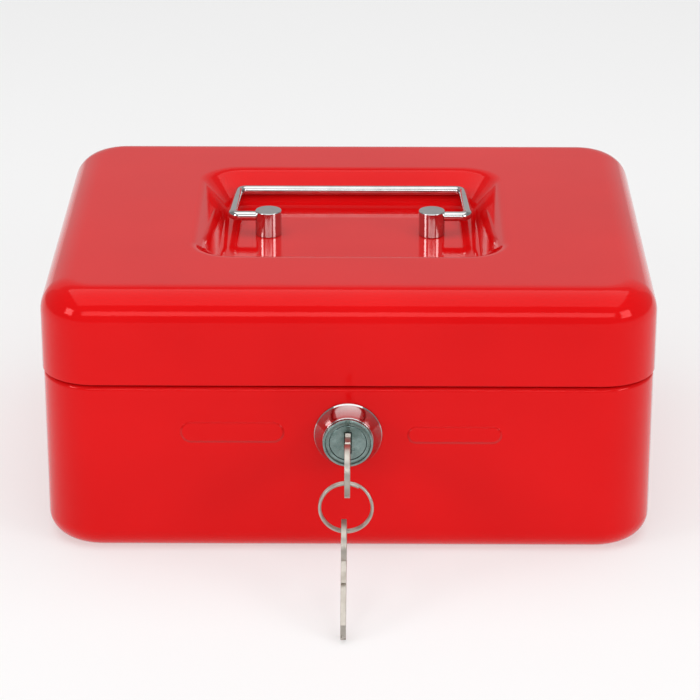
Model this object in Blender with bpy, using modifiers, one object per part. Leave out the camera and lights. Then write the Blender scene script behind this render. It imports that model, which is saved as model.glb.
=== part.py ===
"""A small steel cash box: deep-drawn base and lid, internal rear hinges, a folding wire handle in a
recess of the lid, a wafer cam lock with two keys on a split ring, and a lift-out coin tray.

Metres, +Z up. The origin is the centre of the base's underside, and the front faces -Y.
"""

import math

import bmesh
import bpy
from mathutils import Matrix, Vector

# Driving dimensions of the box
WIDTH = 0.200
DEPTH = 0.160
HEIGHT = 0.090
SHEET = 0.0010
FIT = 0.0003
LID_EDGE_Z = 0.0592
LID_CORNER = 0.0184
LID_TOP_RADIUS = 0.011
BASE_INSET = 0.0003
BASE_CORNER = 0.019
BASE_FOOT_RADIUS = 0.0075
SHOULDER_RADIUS = 0.0015
SHOULDER_Z = 0.0584
LIP_INSET = 0.0020
LIP_TOP_Z = 0.0660

# Recess in the lid for the handle
RECESS_HALF_X = 0.0535
RECESS_HALF_Y = 0.0465
RECESS_CENTRE_Y = 0.0015
RECESS_CORNER = 0.015
RECESS_RUN_X = 0.012
RECESS_RUN_Y = 0.0175
RECESS_FLOOR_CORNER = 0.006
RECESS_FLOOR_Z = 0.0812
RECESS_WALL_ANGLE = math.radians(48)
RECESS_LIP_RADIUS = 0.003
RECESS_FOOT_RADIUS = 0.003

# Handle: two posts and a wire bail
POST_X = 0.028
BAIL_Y = 0.002
BAIL_Z = 0.0878
POST_RADIUS = 0.0045
POST_EDGE = 0.0003
WIRE_RADIUS = 0.00165
BAIL_HALF_AT_PIVOT = 0.0406
BAIL_HALF_AT_GRIP = 0.0395
BAIL_GRIP_Y = 0.0355
BAIL_GRIP_Z = 0.08545
BAIL_BEND = 0.003
BAIL_END_X = 0.0290
BAIL_CLEARANCE = 0.0001
SCREW_RADIUS = 0.0020
SCREW_DEPTH = 0.0035
SCREW_HEAD_RADIUS = 0.0036
SCREW_HEAD = 0.0018
SCREW_SLOT_HALF = 0.0005
WASHER_RADIUS = 0.0048
WASHER = 0.0008

# Rear hinges
HINGE_Y = 0.0762
HINGE_Z = 0.0620
HINGE_CENTRE_X = 0.060
HINGE_HALF = 0.015
KNUCKLE_RADIUS = 0.0025
KNUCKLE_SPLIT = 0.0065
PIN_RADIUS = 0.00125
PIN_CLEARANCE = 0.0001
LEAF = 0.0010
LEAF_CLEAR = 0.0032
BASE_LEAF_LOW_Z = 0.046
LID_LEAF_TOP_Z = 0.0765
NOTCH_TOP_Z = 0.0669
REAR_WALL_TOP_Z = 0.0571
REAR_WALL_CUT_Y = 0.0755
REAR_LIP_CUT_Y = 0.066
WALL_REACH = 0.004
RIVET_RADIUS = 0.0015
RIVET_HEAD_RADIUS = 0.0026
RIVET_HEAD = 0.0009
RIVET_TAIL_RADIUS = 0.0023
RIVET_TAIL = 0.0007
RIVET_SPACING = 0.009
BASE_RIVET_Z = 0.0510
LID_RIVET_Z = 0.0722

# Lock, along Y at the front
LOCK_Z = 0.0422
HEAD_RADIUS = 0.0082
HEAD_FACE = 0.0872
HEAD_THICK = 0.0013
HEAD_EDGE = 0.0003
HEAD_STEP = 0.0830
MARK_RADIUS = 0.0008
BARREL_RADIUS = 0.0070
BARREL_END = 0.0710
COLLAR_FRONT_RADIUS = 0.0080
COLLAR_NECK_RADIUS = 0.0103
COLLAR_RADIUS = 0.0110
COLLAR_RIM = 0.0005
NUT_RADIUS = 0.0104
NUT_THICK = 0.0030
PLUG_HEAD_RADIUS = 0.0060
PLUG_RADIUS = 0.0050
PLUG_FACE = 0.0866
PLUG_STEP = 0.0833
PLUG_END = 0.0705
PLUG_EDGE = 0.0005
PLUG_CLEARANCE = 0.0002
TAIL_HALF = 0.0025
KEYWAY_HALF = 0.00118
KEYWAY_HALF_HEIGHT = 0.0038
KEYWAY_END = 0.0744
WAFER_COUNT = 4
WAFER_PITCH = 0.0022
WAFER_FIRST = 0.0820
WAFER_THICK = 0.0009
WAFER_HALF_X = 0.0028
WAFER_HALF_Z = 0.0045
CAM_FRONT = 0.0702
CAM_THICK = 0.0018
CAM_HUB_RADIUS = 0.0060
CAM_SCREW_RADIUS = 0.0013
CAM_SCREW_TIP = 0.0728
CAM_SCREW_HEAD_RADIUS = 0.0038
CAM_SCREW_HEAD = 0.0019
KEEPER_THICK = 0.0014
KEEPER_FLANGE_HALF = 0.010
KEEPER_FLANGE = 0.0012
KEEPER_FLANGE_Z = (0.0672, 0.0772)
KEEPER_LEG_Y = (-0.0734, -0.0648)
KEEPER_LEG_Z = (0.0512, 0.0682)
KEEPER_WINDOW_Y = (-0.0716, -0.0666)
KEEPER_WINDOW_Z = (0.0546, 0.0596)

# Keys and ring
KEY_THICK = 0.00175
BOW_RADIUS = 0.0085
BOW_FRONT = 0.1082
KEY_HOLE_RADIUS = 0.0037
KEY_HOLE_OFFSET = 0.0032
NECK_LENGTH = 0.0076
NECK_HALF = 0.0045
NECK_INSET = 0.0009
BLADE_LENGTH = 0.0171
BLADE_HALF = 0.0035
KEY_CUTS = (0.0012, 0.0019, 0.0008, 0.0015)
KEY_FIRST_CUT = 0.0042
KEY_CUT_PITCH = 0.0030
RING_RADIUS = 0.0083
RING_WIRE = 0.0005
RING_HALF_PITCH = 0.00055
RING_DROP = 0.0028
RING_X = -0.0004
RING_TURN_DROP = 0.00545
SPARE_X = -0.0010
SPARE_SLACK = 0.0023
SPARE_LEAN = math.radians(32.7)

# Coin tray
TRAY_HALF_X = 0.0945
TRAY_FRONT_Y = -0.0570
TRAY_REAR_Y = 0.0640
TRAY_FLOOR_Z = 0.0385
TRAY_RIM_OUT = 0.0034
TRAY_RIM_Z = 0.0663
TRAY_RIM = 0.0016
TRAY_WALL = 0.0020
TRAY_CORNER = 0.012
TRAY_FOOT = 0.003
CUP_CORNER = 0.007
CUP_FOOT = 0.006
COIN_CUPS = 5
COIN_CUP_DEPTH = 0.045
BACK_CUP_COUNT = 3

CORNER_STEPS = 6
ARC_STEPS = 5
ROUND = 28


def clear_scene():
    for obj in list(bpy.data.objects):
        bpy.data.objects.remove(obj, do_unlink=True)


def new_collection(name, hidden=False):
    collection = bpy.data.collections.new(name)
    collection.hide_render = hidden
    bpy.context.scene.collection.children.link(collection)
    return collection


def new_material(name, colour, roughness, metallic):
    material = bpy.data.materials.new(name)
    material.use_nodes = True
    shader = material.node_tree.nodes["Principled BSDF"]
    shader.inputs["Base Color"].default_value = (*colour, 1.0)
    shader.inputs["Roughness"].default_value = roughness
    shader.inputs["Metallic"].default_value = metallic
    material.diffuse_color = (*colour, 1.0)
    return material


def make_materials():
    finishes = {
        "red_enamel": ((0.68, 0.010, 0.012), 0.12, 0.0),
        "chrome": ((0.80, 0.80, 0.82), 0.08, 1.0),
        "zinc": ((0.42, 0.52, 0.50), 0.30, 1.0),
        "steel": ((0.55, 0.55, 0.56), 0.35, 1.0),
        "brass": ((0.70, 0.52, 0.24), 0.30, 1.0),
        "tray_plastic": ((0.035, 0.035, 0.038), 0.45, 0.0),
    }
    return {name: new_material(name, *finish) for name, finish in finishes.items()}


def new_axis(name, location, parent=None):
    """An empty on a joint's axis, placed in the world but hung on the empty of the joint before it."""
    empty = bpy.data.objects.new(name, None)
    empty.empty_display_size = 0.01
    PARTS.objects.link(empty)
    empty.parent = parent
    empty.location = Vector(location) - (world_place(parent) if parent else Vector())
    return empty


def world_place(obj):
    place = Vector(obj.location)
    while obj.parent:
        obj = obj.parent
        place += obj.location
    return place


def add_piece(name, data, material, axis=None, location=(0, 0, 0), rotation=(0, 0, 0)):
    """A visible piece at a world location, hung on the empty of its joint."""
    obj = bpy.data.objects.new(name, data)
    data.materials.append(MATERIALS[material])
    PARTS.objects.link(obj)
    obj.parent = axis
    obj.location = Vector(location) - (world_place(axis) if axis else Vector())
    obj.rotation_euler = rotation
    return obj


def add_helper(name, data, location=(0, 0, 0), rotation=(0, 0, 0)):
    """A cutter or a body to be joined, which is never drawn."""
    obj = bpy.data.objects.new(name, data)
    CUTTERS.objects.link(obj)
    obj.location = location
    obj.rotation_euler = rotation
    obj.hide_render = True
    obj.display_type = "WIRE"
    return obj


def combine(obj, helper, operation):
    modifier = obj.modifiers.new(helper.name, "BOOLEAN")
    modifier.operation = operation
    modifier.object = helper
    return obj


def cut(obj, *helpers):
    for helper in helpers:
        combine(obj, helper, "DIFFERENCE")
    return obj


def join(obj, *helpers):
    for helper in helpers:
        combine(obj, helper, "UNION")
    return obj


def mesh_from(bm, name):
    bmesh.ops.recalc_face_normals(bm, faces=bm.faces)
    mesh = bpy.data.meshes.new(name)
    bm.to_mesh(mesh)
    bm.free()
    return mesh


def smooth(obj, degrees=35):
    obj.data.shade_smooth()
    obj.data.set_sharp_from_angle(angle=math.radians(degrees))
    return obj


def box_mesh(name, low, high):
    bm = bmesh.new()
    size = Vector(high) - Vector(low)
    middle = (Vector(high) + Vector(low)) / 2
    bmesh.ops.create_cube(bm, size=1.0, matrix=Matrix.Translation(middle) @ Matrix.Diagonal((*size, 1.0)))
    return mesh_from(bm, name)


def rod_mesh(name, start, end, radius, segments=ROUND):
    """A cylinder from one point to another."""
    bm = bmesh.new()
    run = Vector(end) - Vector(start)
    turn = run.to_track_quat("Z", "Y").to_matrix().to_4x4()
    place = Matrix.Translation((Vector(start) + Vector(end)) / 2) @ turn
    bmesh.ops.create_cone(
        bm, cap_ends=True, segments=segments, radius1=radius, radius2=radius, depth=run.length, matrix=place
    )
    return mesh_from(bm, name)


def turned(obj, steps=ROUND):
    """Turns the profile mesh of an object once round its own Z."""
    screw = obj.modifiers.new("turn", "SCREW")
    screw.steps = steps
    screw.render_steps = steps
    screw.use_merge_vertices = True
    screw.merge_threshold = 0.00001
    return obj


def profile_mesh(name, points, closed=False):
    """A profile of (radius, height) points, running down its outer side."""
    mesh = bpy.data.meshes.new(name)
    edges = [(i, i + 1) for i in range(len(points) - 1)]
    if closed:
        edges.append((len(points) - 1, 0))
    mesh.from_pydata([(r, 0.0, z) for r, z in points], edges, [])
    return mesh


def flat_outline(name, outline, holes, half_thickness):
    """A flat plate from a closed outline with holes, in the XY plane of its object."""
    curve = bpy.data.curves.new(name, "CURVE")
    curve.dimensions = "2D"
    curve.fill_mode = "BOTH"
    curve.extrude = half_thickness
    for points in [outline, *holes]:
        spline = curve.splines.new("POLY")
        spline.points.add(len(points) - 1)
        for point, (x, y) in zip(spline.points, points):
            point.co = (x, y, 0.0, 1.0)
        spline.use_cyclic_u = True
    return curve


def wire_curve(name, points, radius, resolution):
    curve = bpy.data.curves.new(name, "CURVE")
    curve.dimensions = "3D"
    curve.bevel_depth = radius
    curve.bevel_resolution = resolution
    curve.use_fill_caps = True
    spline = curve.splines.new("POLY")
    spline.points.add(len(points) - 1)
    for point, place in zip(spline.points, points):
        point.co = (*place, 1.0)
    return curve


def arc(centre, radius, start, end, steps):
    """Points of an arc in a plane, with angles in radians."""
    turn = (end - start) / steps
    return [
        (centre[0] + radius * math.cos(start + turn * i), centre[1] + radius * math.sin(start + turn * i))
        for i in range(steps + 1)
    ]


def filleted(points, radius, steps):
    """The same route with each inner corner rounded."""
    route = [Vector(points[0])]
    for before, corner, after in zip(points, points[1:], points[2:]):
        corner = Vector(corner)
        back = (Vector(before) - corner).normalized()
        ahead = (Vector(after) - corner).normalized()
        half = back.angle(ahead) / 2
        reach = radius / math.tan(half)
        centre = corner + (back + ahead).normalized() * radius / math.sin(half)
        first = (corner + back * reach - centre).normalized()
        last = (corner + ahead * reach - centre).normalized()
        route += [centre + first.slerp(last, i / steps) * radius for i in range(steps + 1)]
    route.append(Vector(points[-1]))
    return route


def ring(half_x, half_y, corner, z, centre_y=0.0, steps=CORNER_STEPS):
    """A rounded rectangle at one height, counter-clockwise from above."""
    points = []
    for number, (side_x, side_y) in enumerate([(1, 1), (-1, 1), (-1, -1), (1, -1)]):
        centre = (side_x * (half_x - corner), centre_y + side_y * (half_y - corner))
        start = number * math.pi / 2
        points += [(x, y, z) for x, y in arc(centre, corner, start, start + math.pi / 2, steps)]
    return points


def loft_mesh(name, rings, close_first=False, close_last=False):
    """A skin through rings that have the same number of points."""
    bm = bmesh.new()
    loops = [[bm.verts.new(point) for point in points] for points in rings]
    for lower, upper in zip(loops, loops[1:]):
        for i in range(len(lower)):
            j = (i + 1) % len(lower)
            bm.faces.new((lower[i], lower[j], upper[j], upper[i]))
    if close_first:
        bm.faces.new(reversed(loops[0]))
    if close_last:
        bm.faces.new(loops[-1])
    mesh = bpy.data.meshes.new(name)
    bm.to_mesh(mesh)
    bm.free()
    return mesh


def solidify(obj, thickness):
    """Gives an open skin its thickness on the inner side."""
    modifier = obj.modifiers.new("sheet", "SOLIDIFY")
    modifier.thickness = thickness
    modifier.offset = -1.0
    modifier.use_even_offset = True
    return obj


def cap_mesh(name, low, high, corner, foot, steps=4):
    """A rounded block whose lower edge is rounded too, for a pocket or a tray body."""
    half_x = (high[0] - low[0]) / 2
    half_y = (high[1] - low[1]) / 2
    middle = ((high[0] + low[0]) / 2, (high[1] + low[1]) / 2)
    rings = []
    for inset, z in arc((foot, low[2] + foot), foot, -math.pi / 2, -math.pi, steps):
        radius = max(corner - inset, 0.001)
        rings.append(ring(half_x - inset, half_y - inset, radius, z, 0.0, steps))
    rings.append(ring(half_x, half_y, corner, high[2], 0.0, steps))
    mesh = loft_mesh(name, rings, close_first=True, close_last=True)
    mesh.transform(Matrix.Translation((*middle, 0.0)))
    return mesh


def base_rings():
    """From the flat underside, up the wall, in over the shoulder and up the lip."""
    half_x = WIDTH / 2 - BASE_INSET
    half_y = DEPTH / 2 - BASE_INSET
    insets = arc((BASE_FOOT_RADIUS, BASE_FOOT_RADIUS), BASE_FOOT_RADIUS, -math.pi / 2, -math.pi, ARC_STEPS)
    top = SHOULDER_Z - SHOULDER_RADIUS
    insets += arc((SHOULDER_RADIUS, top), SHOULDER_RADIUS, math.pi, math.pi / 2, 3)
    insets += [(LIP_INSET, SHOULDER_Z), (LIP_INSET, LIP_TOP_Z)]
    return [ring(half_x - inset, half_y - inset, BASE_CORNER - inset, z) for inset, z in insets]


def recess_profile():
    """Fractions of the run and heights from the lip down to the recess floor."""
    depth = HEIGHT - RECESS_FLOOR_Z
    angle = RECESS_WALL_ANGLE
    both = RECESS_LIP_RADIUS + RECESS_FOOT_RADIUS
    straight = (depth - both * (1 - math.cos(angle))) / math.sin(angle)
    run = both * math.sin(angle) + straight * math.cos(angle)
    points = []
    for i in range(4):
        turn = angle * i / 3
        points.append((RECESS_LIP_RADIUS * math.sin(turn), HEIGHT - RECESS_LIP_RADIUS * (1 - math.cos(turn))))
    for i in range(4):
        turn = angle * (1 - i / 3)
        foot = RECESS_FOOT_RADIUS
        points.append((run - foot * math.sin(turn), RECESS_FLOOR_Z + foot * (1 - math.cos(turn))))
    return [(along / run, z) for along, z in points]


def lid_rings():
    """From the lower edge, up the wall, over the top edge and down into the recess."""
    insets = [(0.0, LID_EDGE_Z)]
    centre = (LID_TOP_RADIUS, HEIGHT - LID_TOP_RADIUS)
    insets += arc(centre, LID_TOP_RADIUS, math.pi, math.pi / 2, ARC_STEPS + 1)
    rings = [ring(WIDTH / 2 - inset, DEPTH / 2 - inset, LID_CORNER - inset, z) for inset, z in insets]
    for share, z in recess_profile():
        corner = RECESS_CORNER + (RECESS_FLOOR_CORNER - RECESS_CORNER) * share
        half_x = RECESS_HALF_X - RECESS_RUN_X * share
        half_y = RECESS_HALF_Y - RECESS_RUN_Y * share
        rings.append(ring(half_x, half_y, corner, z, RECESS_CENTRE_Y))
    return rings


def rivet_places(side, z):
    """World places of the two rivets of one hinge leaf, on the rear wall."""
    return [(side * HINGE_CENTRE_X + step, z) for step in (-RIVET_SPACING, RIVET_SPACING)]


def cut_rivet_holes(obj, side, z, wall_y):
    """Cuts the clearance holes of one leaf's two rivets through the sheet at wall_y."""
    for number, (x, height) in enumerate(rivet_places(side, z)):
        start = (x, wall_y - WALL_REACH, height)
        end = (x, wall_y + WALL_REACH, height)
        name = f"{obj.name}_rivet_cut_{side}_{number}"
        cut(obj, add_helper(name, rod_mesh(name, start, end, RIVET_RADIUS + FIT, 12)))


def make_base():
    base = add_piece("base_shell", loft_mesh("base_shell", base_rings(), close_first=True), "red_enamel")
    solidify(base, SHEET)
    lip_cut = box_mesh("rear_lip_cut", (-WIDTH, REAR_LIP_CUT_Y, SHOULDER_Z - 0.0001), (WIDTH, DEPTH, HEIGHT))
    wall_cut = box_mesh("rear_wall_cut", (-WIDTH, REAR_WALL_CUT_Y, REAR_WALL_TOP_Z), (WIDTH, DEPTH, HEIGHT))
    start = (0, -DEPTH / 2 - WALL_REACH, LOCK_Z)
    end = (0, -DEPTH / 2 + WALL_REACH, LOCK_Z)
    lock_cut = rod_mesh("lock_panel_cut", start, end, BARREL_RADIUS + FIT)
    cut(base, add_helper("rear_lip_cut", lip_cut), add_helper("rear_wall_cut", wall_cut))
    cut(base, add_helper("lock_panel_cut", lock_cut))
    for side in (-1, 1):
        cut_rivet_holes(base, side, BASE_RIVET_Z, DEPTH / 2)
    smooth(base)


def make_lid():
    lid = add_piece("lid_shell", loft_mesh("lid_shell", lid_rings(), close_last=True), "red_enamel", LID_AXIS)
    solidify(lid, SHEET)
    for side in (-1, 1):
        x = side * HINGE_CENTRE_X
        reach = HINGE_HALF + SHEET
        low = (x - reach, DEPTH / 2 - WALL_REACH, LID_EDGE_Z - WALL_REACH)
        notch = box_mesh("notch", low, (x + reach, DEPTH, NOTCH_TOP_Z))
        cut(lid, add_helper(f"lid_notch_{side}", notch))
        cut_rivet_holes(lid, side, LID_RIVET_Z, DEPTH / 2)
        start = (side * POST_X, BAIL_Y, RECESS_FLOOR_Z - WALL_REACH)
        end = (side * POST_X, BAIL_Y, RECESS_FLOOR_Z + WALL_REACH)
        hole = rod_mesh("post_hole", start, end, SCREW_RADIUS + FIT, 20)
        cut(lid, add_helper(f"post_hole_{side}", hole))
    smooth(lid)


def leaf_plate(name, side, y, plate_z, tab_z, tabs, axis):
    """A hinge leaf: a flat plate, tabs that reach the axis and the rolled knuckles round the pin."""
    x = side * HINGE_CENTRE_X
    plate = box_mesh(name, (x - HINGE_HALF, y, plate_z[0]), (x + HINGE_HALF, y + LEAF, plate_z[1]))
    leaf = add_piece(name, plate, "steel", axis)
    for number, (start, end) in enumerate(tabs):
        tab = box_mesh("tab", (x + start, y, tab_z[0]), (x + end, y + LEAF, tab_z[1]))
        join(leaf, add_helper(f"{name}_tab_{number}", tab))
        join(leaf, add_helper(f"{name}_barrel_{number}", hinge_rod(x + start, x + end, KNUCKLE_RADIUS)))
    bore = hinge_rod(x - HINGE_HALF - LEAF, x + HINGE_HALF + LEAF, PIN_RADIUS + PIN_CLEARANCE)
    cut(leaf, add_helper(f"{name}_bore", bore))
    cut_rivet_holes(leaf, side, BASE_RIVET_Z if axis is None else LID_RIVET_Z, y)
    return smooth(leaf)


def hinge_rod(start_x, end_x, radius):
    return rod_mesh("hinge_rod", (start_x, HINGE_Y, HINGE_Z), (end_x, HINGE_Y, HINGE_Z), radius, 16)


def rivet(name, x, z, inner_y, outer_y, axis):
    """A rivet through the rear wall: a domed head outside and a flat one inside."""
    grip = outer_y - inner_y
    points = [(0.0, grip + RIVET_HEAD)]
    for turn in (0.9, 0.45, 0.0):
        points.append((RIVET_HEAD_RADIUS * math.cos(turn), grip + RIVET_HEAD * math.sin(turn)))
    points += [(RIVET_RADIUS, grip), (RIVET_RADIUS, 0.0), (RIVET_TAIL_RADIUS, 0.0)]
    points += [(RIVET_TAIL_RADIUS, -RIVET_TAIL), (0.0, -RIVET_TAIL)]
    piece = add_piece(name, profile_mesh(name, points), "steel", axis, (x, inner_y, z), (-math.pi / 2, 0, 0))
    return smooth(turned(piece, 12))


def make_hinges():
    gap = FIT / 2
    outer_tabs = [(-HINGE_HALF, -KNUCKLE_SPLIT - gap), (KNUCKLE_SPLIT + gap, HINGE_HALF)]
    inner_tabs = [(-KNUCKLE_SPLIT + gap, KNUCKLE_SPLIT - gap)]
    base_y = DEPTH / 2 - BASE_INSET - SHEET - FIT - LEAF
    lid_y = DEPTH / 2 - SHEET - FIT - LEAF
    base_top = HINGE_Z - LEAF_CLEAR
    lid_low = HINGE_Z + LEAF_CLEAR
    outside = DEPTH / 2 + FIT
    for side, word in ((-1, "left"), (1, "right")):
        plate_z = (BASE_LEAF_LOW_Z, base_top)
        tabs_z = (base_top - SHEET, HINGE_Z)
        leaf_plate(f"hinge_base_leaf_{word}", side, base_y, plate_z, tabs_z, outer_tabs, None)
        plate_z = (lid_low, LID_LEAF_TOP_Z)
        tabs_z = (HINGE_Z, lid_low + SHEET)
        leaf_plate(f"hinge_lid_leaf_{word}", side, lid_y, plate_z, tabs_z, inner_tabs, LID_AXIS)
        for number, (x, z) in enumerate(rivet_places(side, BASE_RIVET_Z)):
            rivet(f"base_rivet_{word}_{number + 1}", x, z, base_y - FIT, outside, None)
        for number, (x, z) in enumerate(rivet_places(side, LID_RIVET_Z)):
            rivet(f"lid_rivet_{word}_{number + 1}", x, z, lid_y - FIT, outside, LID_AXIS)
        x = side * HINGE_CENTRE_X
        pin = hinge_rod(x - HINGE_HALF, x + HINGE_HALF, PIN_RADIUS)
        smooth(add_piece(f"hinge_pin_{word}", pin, "steel"))


def make_posts():
    """Each post stands on the recess floor and takes the bail's end in a blind side hole."""
    bottom = RECESS_FLOOR_Z + FIT
    for side, word in ((-1, "left"), (1, "right")):
        place = (side * POST_X, BAIL_Y, 0)
        points = [(0.0, HEIGHT), (POST_RADIUS - POST_EDGE, HEIGHT), (POST_RADIUS, HEIGHT - POST_EDGE)]
        points += [(POST_RADIUS, bottom), (0.0, bottom)]
        post = add_piece(f"handle_post_{word}", profile_mesh("post", points), "chrome", LID_AXIS, place)
        turned(post)
        hole_start = (side * POST_X, BAIL_Y, BAIL_Z)
        hole_end = (side * (POST_X + 2 * POST_RADIUS), BAIL_Y, BAIL_Z)
        side_hole = rod_mesh("bail_hole", hole_start, hole_end, WIRE_RADIUS + BAIL_CLEARANCE, 20)
        cut(post, add_helper(f"bail_hole_{word}", side_hole))
        low = (*place[:2], bottom - SHEET)
        thread = rod_mesh("thread", low, (*place[:2], bottom + SCREW_DEPTH), SCREW_RADIUS + FIT, 20)
        cut(post, add_helper(f"post_thread_{word}", thread))
        smooth(post)
        make_post_fixing(word, place)


def make_post_fixing(word, place):
    """The washer and the screw that hold a post from inside the lid."""
    washer_top = RECESS_FLOOR_Z - SHEET - FIT
    washer_low = washer_top - WASHER
    inner = SCREW_RADIUS + FIT
    points = [(WASHER_RADIUS, washer_top), (WASHER_RADIUS, washer_low)]
    points += [(inner, washer_low), (inner, washer_top)]
    washer = add_piece(f"post_washer_{word}", profile_mesh("washer", points, True), "steel", LID_AXIS, place)
    smooth(turned(washer, 24))
    seat = washer_low - FIT
    tip = RECESS_FLOOR_Z + SCREW_DEPTH - FIT
    head = SCREW_HEAD_RADIUS
    points = [(0.0, tip), (SCREW_RADIUS, tip), (SCREW_RADIUS, seat)]
    points += [(head, seat), (head, seat - SCREW_HEAD / 2)]
    points += [(head - SCREW_HEAD * 0.8, seat - SCREW_HEAD), (0.0, seat - SCREW_HEAD)]
    screw = add_piece(f"post_screw_{word}", profile_mesh("screw", points), "steel", LID_AXIS, place)
    turned(screw, 24)
    low = (place[0] - WASHER_RADIUS, BAIL_Y - SCREW_SLOT_HALF, seat - 2 * SCREW_HEAD)
    high = (place[0] + WASHER_RADIUS, BAIL_Y + SCREW_SLOT_HALF, seat - SCREW_HEAD / 2)
    cut(screw, add_helper(f"post_screw_slot_{word}", box_mesh("slot", low, high)))
    smooth(screw)


def make_bail():
    corners = [
        (-BAIL_END_X, BAIL_Y, BAIL_Z),
        (-BAIL_HALF_AT_PIVOT, BAIL_Y, BAIL_Z),
        (-BAIL_HALF_AT_GRIP, BAIL_GRIP_Y, BAIL_GRIP_Z),
    ]
    route = corners + [(-x, y, z) for x, y, z in reversed(corners)]
    pivot = Vector((0, BAIL_Y, BAIL_Z))
    points = [point - pivot for point in filleted(route, BAIL_BEND, 5)]
    add_piece("bail_handle", wire_curve("bail_handle", points, WIRE_RADIUS, 3), "chrome", BAIL_AXIS, pivot)


def make_keeper():
    """A bracket on the lid's front wall. Its leg hangs behind the lock with a window for the cam's finger."""
    front = -DEPTH / 2 + SHEET + FIT
    back = KEEPER_LEG_Y[1]
    half = KEEPER_THICK / 2
    low = (-KEEPER_FLANGE_HALF, front, KEEPER_FLANGE_Z[0])
    flange = box_mesh("flange", low, (KEEPER_FLANGE_HALF, front + KEEPER_FLANGE, KEEPER_FLANGE_Z[1]))
    keeper = add_piece("lid_keeper", flange, "steel", LID_AXIS)
    low = (-half, front + KEEPER_FLANGE / 2, KEEPER_FLANGE_Z[0])
    web = box_mesh("web", low, (half, back, KEEPER_FLANGE_Z[1]))
    leg = box_mesh("leg", (-half, KEEPER_LEG_Y[0], KEEPER_LEG_Z[0]), (half, back, KEEPER_LEG_Z[1]))
    join(keeper, add_helper("keeper_web", web), add_helper("keeper_leg", leg))
    low = (-KEEPER_THICK, KEEPER_WINDOW_Y[0], KEEPER_WINDOW_Z[0])
    window = box_mesh("window", low, (KEEPER_THICK, KEEPER_WINDOW_Y[1], KEEPER_WINDOW_Z[1]))
    cut(keeper, add_helper("keeper_window", window))
    smooth(keeper)


def lock_piece(name, points, material, closed, axis, steps=ROUND):
    """A piece turned about the lock's axis. Its heights are distances in front of the origin."""
    place = (0, 0, LOCK_Z)
    piece = add_piece(name, profile_mesh(name, points, closed), material, axis, place, (math.pi / 2, 0, 0))
    return turned(piece, steps)


def make_lock_case():
    """The collar is clamped between the head's rim and the panel, and the barrel runs through both."""
    seat = DEPTH / 2 - BASE_INSET + FIT
    under = HEAD_FACE - HEAD_THICK
    front = under - FIT
    inner = BARREL_RADIUS + FIT
    rim = seat + COLLAR_RIM
    collar = [(inner + HEAD_EDGE, front), (COLLAR_FRONT_RADIUS, front - HEAD_EDGE)]
    collar += [(COLLAR_NECK_RADIUS, rim + FIT)]
    collar += [(COLLAR_RADIUS, rim), (COLLAR_RADIUS, seat), (inner, seat), (inner, front)]
    smooth(lock_piece("lock_escutcheon", collar, "chrome", True, None), 50)
    bore = PLUG_HEAD_RADIUS + FIT
    body = [(HEAD_RADIUS - HEAD_EDGE, HEAD_FACE), (HEAD_RADIUS, HEAD_FACE - HEAD_EDGE), (HEAD_RADIUS, under)]
    body += [(BARREL_RADIUS, under), (BARREL_RADIUS, BARREL_END), (PLUG_RADIUS + FIT, BARREL_END)]
    body += [(PLUG_RADIUS + FIT, HEAD_STEP), (bore, HEAD_STEP), (bore, HEAD_FACE)]
    housing = lock_piece("lock_housing", body, "zinc", True, None)
    mark_z = LOCK_Z + HEAD_RADIUS - MARK_RADIUS / 4
    start = (0, -HEAD_FACE - HEAD_THICK, mark_z)
    mark = rod_mesh("mark", start, (0, -HEAD_FACE + COLLAR_RIM, mark_z), MARK_RADIUS, 12)
    cut(housing, add_helper("housing_mark", mark))
    smooth(housing)
    make_lock_nut()


def make_lock_nut():
    """A six-sided nut behind the panel."""
    front = -(DEPTH / 2 - BASE_INSET - SHEET - FIT)
    back = front + NUT_THICK
    nut_mesh = rod_mesh("lock_nut", (0, front, LOCK_Z), (0, back, LOCK_Z), NUT_RADIUS, 6)
    nut = add_piece("lock_nut", nut_mesh, "steel")
    start = (0, front - NUT_THICK, LOCK_Z)
    bore = rod_mesh("nut_bore", start, (0, back + NUT_THICK, LOCK_Z), BARREL_RADIUS + PLUG_CLEARANCE)
    cut(nut, add_helper("nut_bore", bore))
    smooth(nut)


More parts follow.
